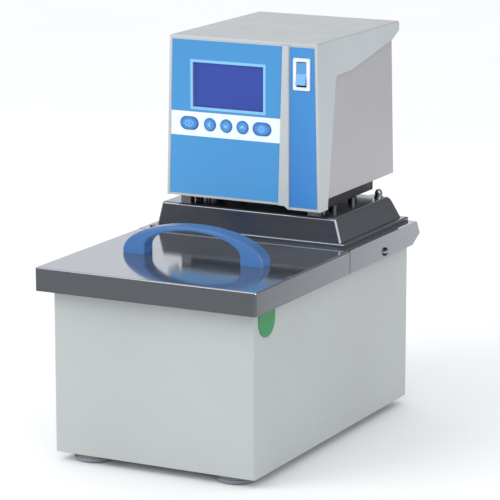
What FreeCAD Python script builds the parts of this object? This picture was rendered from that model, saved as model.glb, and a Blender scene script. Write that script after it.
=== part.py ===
import FreeCAD, Part
import os
import Sketcher
from FreeCAD import Placement, Rotation, Vector

# Heating circulator water bath.
# Millimetres, +Z up, the front faces -Y and +X is to the right of a person who faces it.
# The origin is on the surface it stands on, under the middle of its whole outline.

document = FreeCAD.newDocument("WaterBath")
sheet = document.addObject("Spreadsheet::Sheet", "Sizes")

DRIVING_SIZES = {
    # whole object
    "overall_depth": 437.5,
    "overall_height": 437,
    "sheet_steel": 1.2,
    "running_gap": 0.3,
    "screw_radius": 2.4,
    "screw_hole": 2.7,
    # cabinet, feet and base
    "cabinet_width": 240,
    "cabinet_depth": 382,
    "cabinet_rim": 208,
    "cabinet_lip": 14,
    "foot_height": 10,
    "foot_diameter": 44,
    "foot_spread": 172,
    "foot_setback": 25,
    # tank
    "tank_width": 194,
    "tank_length": 330,
    "tank_depth": 149,
    "tank_setback": 22,
    "tank_corner": 16,
    "tank_wall": 1,
    "seal_height": 4.7,
    # lid and deck
    "lid_top": 215,
    "lid_width": 262,
    "lid_overhang": 19.5,
    "skirt_height": 25.5,
    "lid_rounding": 2,
    "lid_split": 5,
    "split_gap": 1.6,
    "deck_nose": 9,
    "deck_screw_y": 96,
    "deck_screw_drop": 18.5,
    # handle
    "handle_y": -103,
    "handle_length": 170,
    "handle_height": 36,
    "handle_width": 20,
    "handle_opening": 116,
    "handle_leg": 8,
    "handle_bow": 22.5,
    # plinth under the head
    "plinth_width": 231,
    "plinth_front": 16.6,
    "plinth_back": 180,
    "plinth_height": 31,
    "plinth_lean": 8,
    "plinth_back_lean": 20,
    "rim_reach": 5,
    "rim_back_reach": 2.2,
    "rim_height": 4.5,
    "cap_nut_x": 98.8,
    "cap_nut_y": 148,
    "post_spread": 168,
    "post_front": 62,
    "post_back": 110,
    "post_radius": 5,
    "block_inner": 72.5,
    "block_wide": 12,
    "block_deep": 10,
    # head
    "head_front": 5.5,
    "head_bottom": 257.5,
    "column_bottom": 253.5,
    "head_width_low": 189,
    "head_width_high": 180,
    "hood_wall": 3,
    "case_back": 204.5,
    "case_bottom": 264,
    "base_plate_thick": 12,
    "base_plate_front": 32,
    "base_plate_back": 163,
    "bezel_thick": 4,
    "membrane": 0.4,
    # display and keys
    "panel_low": 260.3,
    "panel_high": 432.3,
    "panel_right": 48.4,
    "lcd_left": -61.6,
    "lcd_right": 25.2,
    "lcd_low": 358.5,
    "lcd_high": 408,
    "lcd_border": 3,
    "band_low": 325.8,
    "band_high": 352.8,
    "key_z": 339.8,
    "key_tall": 14.5,
    "key_wide": 22.5,
    "key_proud": 1.2,
    "key_travel": 1,
    # mains rocker switch
    "rocker_x": 72,
    "rocker_z": 403.5,
    "rocker_frame_wide": 20,
    "rocker_frame_tall": 35,
    "rocker_opening_wide": 12.3,
    "rocker_opening_tall": 27.6,
    # pump, heater and fittings
    "pump_y": 95,
    "pump_z": 80,
    "pump_radius": 31,
    "shaft_radius": 3,
    "shaft_clearance": 0.05,
    "shaft_opening": 18,
    "rod_radius": 3,
    "rod_hole": 4.2,
    "pipe_x": 62,
    "pipe_radius": 6,
    "nozzle_z": 229,
    "nozzle_radius": 6,
    "nozzle_bore": 4,
    "nozzle_end": 214,
    "coil_radius": 46,
    "coil_pitch": 14,
    "coil_tube": 3.6,
    "coil_leg": 4.2,
    "float_x": -72,
    "float_y": 60,
    "float_travel": 40,
    "drain_x": 60,
    "drain_z": 40,
    "drain_setback": 26,
    "drain_pipe_radius": 5,
    "drain_pipe_bore": 3.5,
    "valve_neck": 8.3,
    "valve_bore": 3,
    # fittings on the rear panel
    "fitting_z": 290,
    "inlet_x": -48,
    "fuse_x": -6,
    "fuse_spacing": 20,
    "fuse_barrel": 6.4,
    "probe_socket_x": 48,
    "probe_socket_radius": 8,
}


class Size:
    """A length that carries its number and the sheet formula it comes from."""

    def __init__(self, number, formula):
        self.number = number
        self.formula = formula

    def __add__(self, other):
        return Size(self.number + plain(other), f"({self.formula} + {text(other)})")

    def __radd__(self, other):
        return Size(plain(other) + self.number, f"({text(other)} + {self.formula})")

    def __sub__(self, other):
        return Size(self.number - plain(other), f"({self.formula} - {text(other)})")

    def __rsub__(self, other):
        return Size(plain(other) - self.number, f"({text(other)} - {self.formula})")

    def __mul__(self, other):
        return Size(self.number * plain(other), f"({self.formula} * {text(other)})")

    def __truediv__(self, other):
        return Size(self.number / plain(other), f"({self.formula} / {text(other)})")

    def __neg__(self):
        return Size(-self.number, f"(0 - {self.formula})")


def plain(size):
    return size.number if isinstance(size, Size) else float(size)


def text(size):
    return size.formula if isinstance(size, Size) else f"({size})"


def fill_sheet():
    for row, (alias, number) in enumerate(DRIVING_SIZES.items(), start=1):
        sheet.set(f"A{row}", alias)
        sheet.set(f"B{row}", str(number))
        sheet.setAlias(f"B{row}", alias)
    document.recompute()


def size(alias):
    return Size(float(sheet.get(alias)), f"Sizes.{alias}")


def bind(target, name, amount):
    if isinstance(amount, Size):
        target.setExpression(name, amount.formula)


# ---------------------------------------------------------------- building blocks

PLANES = {"XY": "XY_Plane", "XZ": "XZ_Plane", "YZ": "YZ_Plane"}
sub_parts = []


def keep(thing, label):
    """Names a finished sub-part and lists it for export."""
    thing.Label = label
    sub_parts.append(thing)
    return thing


def place(thing, x=0, y=0, z=0, rotation=None):
    thing.Placement = Placement(Vector(plain(x), plain(y), plain(z)), rotation or Rotation())
    for axis, amount in zip("xyz", (x, y, z)):
        bind(thing, f"Placement.Base.{axis}", amount)
    return thing


def box(x0, y0, z0, x1, y1, z1, name="Block"):
    block = document.addObject("Part::Box", name)
    for side, amount in (("Length", x1 - x0), ("Width", y1 - y0), ("Height", z1 - z0)):
        setattr(block, side, plain(amount))
        bind(block, side, amount)
    return place(block, x0, y0, z0)


TURNED = {
    "+Z": Rotation(),
    "+Y": Rotation(Vector(1, 0, 0), -90),
    "+X": Rotation(Vector(0, 1, 0), 90),
}


def cylinder(radius, length, x, y, z, along="+Z", name="Round"):
    rod = document.addObject("Part::Cylinder", name)
    rod.Radius = plain(radius)
    rod.Height = plain(length)
    bind(rod, "Radius", radius)
    bind(rod, "Height", length)
    return place(rod, x, y, z, TURNED[along])


def cone(radius_low, radius_high, length, x, y, z, along="+Z", name="Taper"):
    taper = document.addObject("Part::Cone", name)
    for side, amount in (("Radius1", radius_low), ("Radius2", radius_high), ("Height", length)):
        setattr(taper, side, plain(amount))
        bind(taper, side, amount)
    return place(taper, x, y, z, TURNED[along])


def fused(*pieces, name="Joined"):
    joined = document.addObject("Part::MultiFuse", name)
    joined.Shapes = list(pieces)
    joined.Refine = True
    return joined


def cut(base, *tools, name="Cut"):
    tool = tools[0] if len(tools) == 1 else fused(*tools, name="Tools")
    result = document.addObject("Part::Cut", name)
    result.Base = base
    result.Tool = tool
    result.Refine = True
    return result


def group(pieces, name="Group"):
    """Several separate solids that share one node."""
    bundle = document.addObject("Part::Compound", name)
    bundle.Links = list(pieces)
    return bundle


def mirrored(source, normal, y=0):
    twin = document.addObject("Part::Mirroring", "Mirrored")
    twin.Source = source
    twin.Normal = normal
    twin.Base = Vector(0, plain(y), 0)
    bind(twin, "Base.y", y)
    return twin


def left_and_right(source):
    return [source, mirrored(source, Vector(1, 0, 0))]


def new_body(name):
    return document.addObject("PartDesign::Body", name)


def sketch_on(body, plane, offset=0):
    """A sketch on one of the body's own origin planes, moved along that plane's normal."""
    drawing = body.newObject("Sketcher::SketchObject", "Outline")
    origin = next(item for item in body.Origin.OriginFeatures if item.Role == PLANES[plane])
    drawing.AttachmentSupport = [(origin, "")]
    drawing.MapMode = "FlatFace"
    # the XZ plane's normal points along -Y, so a place along +Y is a negative offset
    offset = -offset if plane == "XZ" else offset
    drawing.AttachmentOffset = Placement(Vector(0, 0, plain(offset)), Rotation())
    bind(drawing, "AttachmentOffset.Base.z", offset)
    return drawing


def fix(drawing, kind, geometry, point, amount):
    index = drawing.addConstraint(
        Sketcher.Constraint(kind, -1, 1, geometry, point, plain(amount)))
    bind(drawing, f"Constraints[{index}]", amount)


def polygon(drawing, points):
    """Straight lines through the points, each corner held by its two distances."""
    first = drawing.GeometryCount
    corners = [Vector(plain(a), plain(b), 0) for a, b in points]
    for start, end in zip(corners, corners[1:] + corners[:1]):
        drawing.addGeometry(Part.LineSegment(start, end))
    for index, (across, up) in enumerate(points):
        following = (index + 1) % len(points)
        drawing.addConstraint(
            Sketcher.Constraint("Coincident", first + index, 2, first + following, 1))
        fix(drawing, "DistanceX", first + index, 1, across)
        fix(drawing, "DistanceY", first + index, 1, up)


def rectangle(drawing, across0, up0, across1, up1):
    polygon(drawing, [(across0, up0), (across1, up0), (across1, up1), (across0, up1)])


def circle(drawing, across, up, radius):
    index = drawing.addGeometry(
        Part.Circle(Vector(plain(across), plain(up), 0), Vector(0, 0, 1), plain(radius)))
    fix(drawing, "DistanceX", index, 3, across)
    fix(drawing, "DistanceY", index, 3, up)
    radial = drawing.addConstraint(Sketcher.Constraint("Radius", index, plain(radius)))
    bind(drawing, f"Constraints[{radial}]", radius)


def stadium(drawing, across, up, wide, tall):
    """A slot with round ends, as wide as it says from end to end."""
    radius = tall / 2
    reach = (wide - tall) / 2
    left = Vector(plain(across - reach), plain(up), 0)
    right = Vector(plain(across + reach), plain(up), 0)
    drop = Vector(0, plain(radius), 0)
    normal = Vector(0, 0, 1)
    quarter = 1.5707963267948966
    first = drawing.GeometryCount
    drawing.addGeometry(Part.LineSegment(left + drop, right + drop))
    drawing.addGeometry(Part.ArcOfCircle(Part.Circle(right, normal, plain(radius)), -quarter, quarter))
    drawing.addGeometry(Part.LineSegment(right - drop, left - drop))
    drawing.addGeometry(
        Part.ArcOfCircle(Part.Circle(left, normal, plain(radius)), quarter, 3 * quarter))
    joints = ((0, 2, 1, 2), (1, 1, 2, 1), (2, 2, 3, 2), (3, 1, 0, 1))
    for one, its_end, other, other_end in joints:
        drawing.addConstraint(
            Sketcher.Constraint("Tangent", first + one, its_end, first + other, other_end))
    fix(drawing, "DistanceX", first + 1, 3, across + reach)
    fix(drawing, "DistanceY", first + 1, 3, up)
    fix(drawing, "DistanceX", first + 3, 3, across - reach)
    fix(drawing, "DistanceY", first + 3, 3, up)
    radial = drawing.addConstraint(Sketcher.Constraint("Radius", first + 1, plain(radius)))
    bind(drawing, f"Constraints[{radial}]", radius)


def pad(body, drawing, length):
    feature = body.newObject("PartDesign::Pad", "Pad")
    feature.Profile = drawing
    feature.Length = plain(length)
    bind(feature, "Length", length)
    document.recompute()
    return feature


def pocket(body, drawing, length, towards_normal=False):
    """Cuts against the sketch's normal, or along it, and makes sure that something was cut."""
    before = body.Shape.Volume
    feature = body.newObject("PartDesign::Pocket", "Pocket")
    feature.Profile = drawing
    feature.Length = plain(length)
    bind(feature, "Length", length)
    feature.Reversed = towards_normal
    document.recompute()
    if not body.Shape.Volume < before:
        raise ValueError(f"{body.Label}: the pocket cuts nothing")
    return feature


def revolution(body, drawing, axis="V_Axis"):
    feature = body.newObject("PartDesign::Revolution", "Revolution")
    feature.Profile = drawing
    feature.ReferenceAxis = (drawing, [axis])
    feature.Angle = 360
    document.recompute()
    return feature


def rounded(body, radius, chosen):
    """Fillets the edges of the body's tip for which chosen(edge) is true."""
    base = body.Tip
    names = [f"Edge{number}" for number, edge in enumerate(base.Shape.Edges, start=1)
             if chosen(edge)]
    if not names:
        raise ValueError(f"{body.Label}: no edge to round")
    feature = body.newObject("PartDesign::Fillet", "Fillet")
    feature.Base = (base, names)
    feature.Radius = radius
    document.recompute()
    if "Invalid" in feature.State:
        raise ValueError(f"{body.Label}: the edges can't be rounded")
    return feature


def runs_along(edge, axis, slack=0.35):
    """True for an edge whose ends lie in line with the axis, within the slack."""
    ends = [vertex.Point for vertex in edge.Vertexes]
    if len(ends) != 2:
        return False
    return (ends[1] - ends[0]).normalize().cross(axis).Length < slack


def ring(label, plane, outer, inner, start, length):
    """A flat rectangular frame: outer and inner are (across0, up0, across1, up1)."""
    body = new_body(label)
    drawing = sketch_on(body, plane, start)
    rectangle(drawing, *outer)
    rectangle(drawing, *inner)
    pad(body, drawing, length)
    return body


def slab(label, plane, draw, start, length):
    """A body padded from one sketch, which draw(sketch) fills in."""
    body = new_body(label)
    drawing = sketch_on(body, plane, start)
    draw(drawing)
    pad(body, drawing, length)
    return body


fill_sheet()

X = Vector(1, 0, 0)
Y = Vector(0, 1, 0)
Z = Vector(0, 0, 1)

# ---------------------------------------------------------------- places worked out from the sheet

lid_front = -size("overall_depth") / 2
hood_back = size("overall_depth") / 2
cabinet_front = lid_front + size("lid_overhang")
cabinet_back = cabinet_front + size("cabinet_depth")
cabinet_side = size("cabinet_width") / 2
cabinet_middle = (cabinet_front + cabinet_back) / 2
tank_front = cabinet_front + size("tank_setback")
tank_back = tank_front + size("tank_length")
tank_side = size("tank_width") / 2
tank_rim = size("cabinet_rim") + size("tank_wall")
tank_floor = tank_rim - size("tank_depth")
drain_y = tank_back - size("drain_setback")
lid_side = size("lid_width") / 2
lid_back = size("lid_split") - size("split_gap") / 2
deck_front = size("lid_split") + size("split_gap") / 2
lid_under = size("lid_top") - size("tank_wall")
handle_screw_x = (size("handle_length") + size("handle_opening")) / 4
skirt_low = size("lid_top") - size("skirt_height")
deck_screw_z = size("lid_top") - size("deck_screw_drop")
plinth_top = size("lid_top") + size("plinth_height")
plinth_side = size("plinth_width") / 2
nozzle_start = size("plinth_back") - 16
plate_low = size("case_bottom") - size("base_plate_thick")
case_floor = size("case_bottom") + size("sheet_steel")
case_inset = size("hood_wall") + 0.15
leg_hole = size("coil_leg") + 0.3
foot_recess = 3
head_top = size("overall_height")
head_slope = (size("head_width_low") - size("head_width_high")) / 2
head_rise = head_top - size("column_bottom")
bezel_front = size("head_front") + 0.5
bezel_back = bezel_front + size("bezel_thick")
membrane_front = bezel_front - size("membrane")


def head_half_width(height):
    """Half the head's outside width at a height: its sides lean in towards the top."""
    return size("head_width_low") / 2 - (height - size("column_bottom")) * head_slope / head_rise


# ---------------------------------------------------------------- cabinet

def make_cabinet_shell():
    """Four painted walls with a lip turned in at the top to carry the tank."""
    body = new_body("Cabinet")
    walls = sketch_on(body, "XY", size("foot_height"))
    rectangle(walls, -cabinet_side, cabinet_front, cabinet_side, cabinet_back)
    pad(body, walls, size("cabinet_rim") - size("foot_height"))
    corner = 2.5
    rounded(body, corner, lambda edge: runs_along(edge, Z))
    wall = size("sheet_steel")
    inside = sketch_on(body, "XY", size("foot_height"))
    rectangle(inside, wall - cabinet_side, cabinet_front + wall, cabinet_side - wall, cabinet_back - wall)
    pocket(body, inside, size("cabinet_rim") - size("foot_height") - wall, towards_normal=True)
    lip = size("cabinet_lip")
    mouth = sketch_on(body, "XY", size("cabinet_rim"))
    rectangle(mouth, lip - cabinet_side, cabinet_front + lip, cabinet_side - lip, cabinet_back - lip)
    pocket(body, mouth, wall * 2)
    drain_hole = sketch_on(body, "XZ", cabinet_back)
    circle(drain_hole, size("drain_x"), size("drain_z"), size("valve_neck") + 0.2)
    pocket(body, drain_hole, wall * 2, towards_normal=True)
    screw_hole = sketch_on(body, "YZ", cabinet_side)
    circle(screw_hole, size("deck_screw_y"), deck_screw_z, size("screw_hole"))
    pocket(body, screw_hole, wall * 2)
    other_hole = sketch_on(body, "YZ", -cabinet_side)
    circle(other_hole, size("deck_screw_y"), deck_screw_z, size("screw_hole"))
    pocket(body, other_hole, wall * 2, towards_normal=True)
    keep(body, "cabinet_shell")


def make_base_plate():
    """Closes the cabinet from below and carries the feet."""
    wall = size("sheet_steel")
    gap = 0.1

    def draw(drawing):
        rectangle(drawing, wall + gap - cabinet_side, cabinet_front + wall + gap,
                  cabinet_side - wall - gap, cabinet_back - wall - gap)
        for side in (-1, 1):
            for row in (cabinet_front + size("foot_setback"), cabinet_back - size("foot_setback")):
                circle(drawing, size("foot_spread") / 2 * side, row, size("screw_hole"))

    keep(slab("BasePlate", "XY", draw, size("foot_height"), wall), "base_plate")


def at_four_feet(source):
    """The source stands at the front right foot; its copies stand at the other three."""
    front = left_and_right(source)
    return front + [mirrored(item, Y, cabinet_middle) for item in front]


def make_feet():
    """Round rubber feet with a groove for their ring and a recess for the screw."""
    body = new_body("Foot")
    radius = size("foot_diameter") / 2
    hole = size("screw_hole")
    recess = 7
    sole = radius - 4
    groove = radius - 1.6
    neck = radius - 5
    drawing = sketch_on(body, "XZ", 0)
    polygon(drawing, [
        (hole, foot_recess), (recess, foot_recess), (recess, 0), (sole, 0), (radius - 1, 1.5),
        (radius, 3.6), (radius - 0.4, 5), (groove, 5.4), (groove, 6.2), (radius - 0.8, 6.8),
        (radius - 1.6, 8), (neck, size("foot_height")), (hole, size("foot_height"))])
    revolution(body, drawing)
    place(body, size("foot_spread") / 2, cabinet_front + size("foot_setback"), 0)
    keep(group(at_four_feet(body), "Feet"), "rubber_feet")


def make_foot_screws():
    x = size("foot_spread") / 2
    y = cabinet_front + size("foot_setback")
    head_high = 2.6
    length = 14
    head = cylinder(5, head_high, x, y, foot_recess - head_high)
    shank = cylinder(size("screw_radius"), length, x, y, foot_recess)
    keep(group(at_four_feet(fused(head, shank)), "FootScrews"), "foot_screws")


def make_green_tag():
    """A plastic tongue that hangs down the right wall from under the lid's skirt."""
    radius = 18
    thick = 1.2
    middle = cabinet_front + 26
    low = skirt_low - 13.5
    high = skirt_low + 12.5

    def draw(drawing):
        rectangle(drawing, middle - radius, low, middle + radius, high)

    body = slab("Tag", "YZ", draw, cabinet_side, thick)
    tongue = cylinder(radius, thick, cabinet_side, middle, low, "+X")
    keep(fused(body, tongue), "green_tag")


# ---------------------------------------------------------------- tank

def rounded_corners(body, radius, half_width):
    """Rounds the upright corners that stand at half_width from the middle."""
    reach = plain(half_width)
    rounded(body, plain(radius),
            lambda edge: runs_along(edge, Z) and abs(abs(edge.CenterOfMass.x) - reach) < 0.1)


def make_tank_flange():
    """Stainless frame that rests on the cabinet's lip; the tank is welded into its opening."""
    wall = size("tank_wall")
    edge = 1
    outer = (edge - cabinet_side, cabinet_front + edge, cabinet_side - edge, cabinet_back - edge)
    inner = (-tank_side - wall, tank_front - wall, tank_side + wall, tank_back + wall)
    flange = ring("Flange", "XY", outer, inner, size("cabinet_rim"), wall)
    rounded_corners(flange, size("tank_corner") + wall, tank_side + wall)
    keep(flange, "tank_flange")


def make_tank():
    """Stainless tank with round upright corners and a drain hole in its floor."""
    body = new_body("Tank")
    wall = size("tank_wall")
    bowl = sketch_on(body, "XY", tank_floor - wall)
    rectangle(bowl, -tank_side - wall, tank_front - wall, tank_side + wall, tank_back + wall)
    pad(body, bowl, size("tank_depth") + wall)
    water = sketch_on(body, "XY", tank_rim)
    rectangle(water, -tank_side, tank_front, tank_side, tank_back)
    pocket(body, water, size("tank_depth"))
    rounded_corners(body, size("tank_corner"), tank_side)
    rounded_corners(body, size("tank_corner") + wall, tank_side + wall)
    drain = sketch_on(body, "XY", tank_floor)
    circle(drain, size("drain_x"), drain_y, size("drain_pipe_radius"))
    pocket(body, drain, wall * 2)
    keep(body, "bath_tank")


def make_insulation():
    """Foam jacket between the tank and the cabinet."""
    gap = 1.5
    wall = size("sheet_steel") + gap
    under_tank = 24
    outer = box(wall - cabinet_side, cabinet_front + wall, size("foot_height") + under_tank,
                cabinet_side - wall, cabinet_back - wall, size("cabinet_rim") - 3)
    room = size("tank_wall") + 0.5
    hollow = box(-tank_side - room, tank_front - room, tank_floor - room,
                 tank_side + room, tank_back + room, size("cabinet_rim"))
    way = 12
    drain_way = box(size("drain_x") - way, drain_y - way - 2, size("foot_height"),
                    size("drain_x") + way, cabinet_back, tank_floor)
    keep(cut(outer, hollow, drain_way), "tank_insulation")


def make_seal():
    """Silicone frame on the tank's flange, under the lid and the deck."""
    inset = 3
    outer = (inset - cabinet_side, cabinet_front + inset, cabinet_side - inset, cabinet_back - inset)
    inner = (-tank_side - inset, tank_front - inset, tank_side + inset, tank_back + inset)
    keep(ring("Seal", "XY", outer, inner, tank_rim, size("seal_height")), "tank_seal")


def make_baffle():
    """Perforated sheet that parts the bath from the pump's end of the tank."""
    hole = 5
    across = 24
    up = 18
    lowest = tank_floor + 22

    def draw(drawing):
        edge = tank_side - 1
        rectangle(drawing, -edge, tank_floor + 0.5, edge, size("cabinet_rim") - 4)
        for row in range(3):
            for column in range(-3, 4):
                circle(drawing, column * across, lowest + row * up, hole)

    keep(slab("Baffle", "XZ", draw, deck_front + 4, size("tank_wall")), "baffle_plate")


# ---------------------------------------------------------------- drain

def make_drain_pipe():
    """Short elbow from the tank's floor to the valve on the back wall."""
    x = size("drain_x")
    z = size("drain_z")
    radius = size("drain_pipe_radius")
    bore = size("drain_pipe_bore")
    drop = tank_floor - size("tank_wall") - z
    down = cylinder(radius, drop + radius, x, drain_y, z - radius)
    along = cylinder(radius, cabinet_back - drain_y - 2, x, drain_y, z, "+Y")
    bore_down = cylinder(bore, drop + 2, x, drain_y, z - 2)
    bore_along = cylinder(bore, cabinet_back - drain_y, x, drain_y, z, "+Y")
    keep(cut(fused(down, along), bore_down, bore_along), "drain_pipe")


def make_drain_valve():
    """Valve body with a hose stub, and the lever that turns on its stem."""
    x = size("drain_x")
    z = size("drain_z")
    back = cabinet_back
    start = back - 4.5
    barrel_start = back + 3
    stub_start = barrel_start + 16
    stub_long = 15
    stem_y = back + 11
    stem_high = 12
    flange = cylinder(12, 3, x, back, z, "+Y")
    barrel = cylinder(8, stub_start - barrel_start, x, barrel_start, z, "+Y")
    neck = cylinder(size("valve_neck"), barrel_start - start, x, start, z, "+Y")
    stub = cylinder(5, stub_long, x, stub_start, z, "+Y")
    tip = cone(5, 4, 1.5, x, stub_start + stub_long, z, "+Y")
    stem = cylinder(4, stem_high, x, stem_y, z)
    bore = cylinder(size("valve_bore"), 42, x, back - 5, z, "+Y")
    pipe_seat = cylinder(size("drain_pipe_radius"), 2.5, x, start, z, "+Y")
    keep(cut(fused(flange, barrel, neck, stub, tip, stem), bore, pipe_seat), "drain_valve")
    reach = 30
    lever_low = z + stem_high + size("running_gap")
    arm_low = lever_low + 0.5
    hub = cylinder(6, 4, x, stem_y, lever_low)
    arm = box(x - reach, stem_y - 3.5, arm_low, x, stem_y + 3.5, arm_low + 3)
    knob = cylinder(4.5, 3, x - reach, stem_y, arm_low)
    keep(fused(hub, arm, knob), "drain_lever")


# ---------------------------------------------------------------- lid and handle

def make_lid():
    """Flat stainless lid with a skirt on three sides, open towards the deck."""
    body = new_body("Lid")
    outside = sketch_on(body, "XY", skirt_low)
    rectangle(outside, -lid_side, lid_front, lid_side, lid_back)
    pad(body, outside, size("skirt_height"))
    wall = size("tank_wall")
    hollow = sketch_on(body, "XY", skirt_low)
    rectangle(hollow, wall - lid_side, lid_front + wall, lid_side - wall, lid_back + 1)
    pocket(body, hollow, size("skirt_height") - wall, towards_normal=True)
    corner = 3
    for radius, side in ((corner - plain(wall), lid_side - wall), (corner, lid_side)):
        reach = plain(side)
        rounded(body, radius, lambda edge: runs_along(edge, Z) and edge.CenterOfMass.y < 0
                and abs(abs(edge.CenterOfMass.x) - reach) < 0.1)
    top = plain(size("lid_top")) - 0.1
    rounded(body, plain(size("lid_rounding")),
            lambda edge: edge.BoundBox.ZMin > top and edge.CenterOfMass.y < plain(lid_back) - 1)
    holes = sketch_on(body, "XY", size("lid_top"))
    for side in (-1, 1):
        circle(holes, handle_screw_x * side, size("handle_y"), size("screw_hole"))
    pocket(body, holes, wall * 2)
    keep(body, "bath_lid")


def ellipse_arc(drawing, half_length, height, base):
    """The upper half of an ellipse about the middle, standing on the level called base."""
    centre = Vector(0, plain(base), 0)
    shape = Part.Ellipse(centre, plain(half_length), plain(height))
    index = drawing.addGeometry(Part.ArcOfEllipse(shape, 0, 3.141592653589793))
    drawing.exposeInternalGeometry(index)
    long_axis = index + 1
    short_axis = index + 2
    drawing.addConstraint(Sketcher.Constraint("Horizontal", long_axis))
    fix(drawing, "DistanceX", index, 3, 0)
    fix(drawing, "DistanceY", index, 3, base)
    fix(drawing, "DistanceX", long_axis, 1, half_length)
    fix(drawing, "DistanceY", short_axis, 1, base + height)
    return index


def joined(drawing, one, its_end, other, other_end):
    drawing.addConstraint(Sketcher.Constraint("Coincident", one, its_end, other, other_end))


def straight(drawing, start, end):
    ends = [Vector(plain(across), plain(up), 0) for across, up in (start, end)]
    return drawing.addGeometry(Part.LineSegment(*ends))


def make_handle():
    """A bridge handle: an elliptical bow on two broad feet."""
    body = new_body("Handle")
    deck = size("lid_top")
    outer = size("handle_length") / 2
    inner = size("handle_opening") / 2
    leg = size("handle_leg")
    foot = 3
    outer_rounding = 3.2
    inner_rounding = 1.8
    screw_depth = 10
    drawing = sketch_on(body, "XZ", size("handle_y") + size("handle_width") / 2)
    bow = ellipse_arc(drawing, outer, size("handle_height") - foot, deck + foot)
    arch = ellipse_arc(drawing, inner, size("handle_bow"), deck + leg)
    for side, end in ((1, 1), (-1, 2)):
        outside = straight(drawing, (outer * side, deck + foot), (outer * side, deck))
        under = straight(drawing, (outer * side, deck), (inner * side, deck))
        inside = straight(drawing, (inner * side, deck), (inner * side, deck + leg))
        joined(drawing, bow, end, outside, 1)
        joined(drawing, outside, 2, under, 1)
        joined(drawing, under, 2, inside, 1)
        joined(drawing, inside, 2, arch, end)
        fix(drawing, "DistanceX", under, 1, outer * side)
        fix(drawing, "DistanceY", under, 1, deck)
        fix(drawing, "DistanceX", under, 2, inner * side)
        fix(drawing, "DistanceY", under, 2, deck)
        fix(drawing, "DistanceY", bow, end, deck + foot)
        fix(drawing, "DistanceY", arch, end, deck + leg)
    pad(body, drawing, size("handle_width"))
    base = plain(deck) + 0.1
    sides = (plain(size("handle_y")) - plain(size("handle_width")) / 2 + 0.1,
             plain(size("handle_y")) + plain(size("handle_width")) / 2 - 0.1)
    crown = plain(deck + (leg + size("handle_bow") + size("handle_height")) / 2)

    def along_a_face(edge):
        return edge.BoundBox.ZMax > base and (edge.BoundBox.YMax < sides[0] or edge.BoundBox.YMin > sides[1])

    def outer_edge(edge):
        return edge.BoundBox.ZMax > crown or abs(edge.CenterOfMass.x) > plain(outer) - 1

    rounded(body, outer_rounding, lambda edge: along_a_face(edge) and outer_edge(edge))
    rounded(body, inner_rounding, lambda edge: along_a_face(edge) and not outer_edge(edge))
    screw_holes = sketch_on(body, "XY", deck)
    for side in (-1, 1):
        circle(screw_holes, handle_screw_x * side, size("handle_y"), size("screw_radius") + 0.1)
    pocket(body, screw_holes, screw_depth, towards_normal=True)
    keep(body, "lid_handle")


def make_handle_screws():
    head_high = 2.8
    length = 9.5
    head = cylinder(5, head_high, handle_screw_x, size("handle_y"), lid_under - head_high)
    shank = cylinder(size("screw_radius"), length, handle_screw_x, size("handle_y"), lid_under)
    keep(group(left_and_right(fused(head, shank)), "HandleScrews"), "handle_screws")


# ---------------------------------------------------------------- deck and plinth

def make_deck():
    """Fixed stainless deck behind the lid: side skirts with a nosed rear end, and a rear gutter."""
    wall = size("tank_wall")
    top = size("lid_top")
    nose_y = cabinet_back + size("deck_nose")
    nose_z = top - 15
    under_nose = cabinet_back - 11
    body = new_body("Deck")

    def side_outline(drawing):
        polygon(drawing, [
            (deck_front, top), (deck_front, skirt_low), (under_nose, skirt_low),
            (nose_y, nose_z), (cabinet_back, top)])

    block = sketch_on(body, "YZ", -lid_side)
    side_outline(block)
    pad(body, block, size("lid_width"))
    hollow = sketch_on(body, "YZ", wall - lid_side)
    lip_end = cabinet_back + 1.5
    polygon(hollow, [
        (deck_front - 1, top - wall), (deck_front - 1, skirt_low - 1), (lip_end, skirt_low - 1),
        (lip_end, skirt_low + 7.8), (nose_y - wall * 1.6, nose_z + 0.4),
        (cabinet_back - wall * 0.6, top - wall)])
    pocket(body, hollow, size("lid_width") - wall * 2, towards_normal=True)
    opening = sketch_on(body, "XY", top)
    ledge = 8
    rectangle(opening, ledge - plinth_side, size("plinth_front") + ledge,
              plinth_side - ledge, size("plinth_back") - 30)
    pocket(body, opening, wall * 2)
    for side in (-1, 1):
        screw = sketch_on(body, "YZ", lid_side * side)
        circle(screw, size("deck_screw_y"), deck_screw_z, size("screw_hole"))
        pocket(body, screw, wall * 2, towards_normal=side < 0)
    keep(body, "deck_plate")


def make_deck_screws():
    """Pan head screws with their distance sleeves, one on each side."""
    y = size("deck_screw_y")
    z = deck_screw_z
    sleeve = cylinder(4.5, lid_side - size("tank_wall") - cabinet_side, cabinet_side, y, z, "+X")
    grip = 2.5
    head_radius = 4.8
    head_high = 1.6
    slot_half = 0.6
    shank = cylinder(size("screw_radius"), lid_side - cabinet_side + grip, cabinet_side - grip, y, z, "+X")
    head = cylinder(head_radius, head_high, lid_side, y, z, "+X")
    crown = cone(head_radius, 3.4, 1, lid_side + head_high, y, z, "+X")
    slot = box(lid_side + 1.4, y - 6, z - slot_half, lid_side + 4, y + 6, z + slot_half)
    screw = cut(fused(sleeve, shank, head, crown), slot)
    keep(group(left_and_right(screw), "DeckScrews"), "deck_screws")


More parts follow.
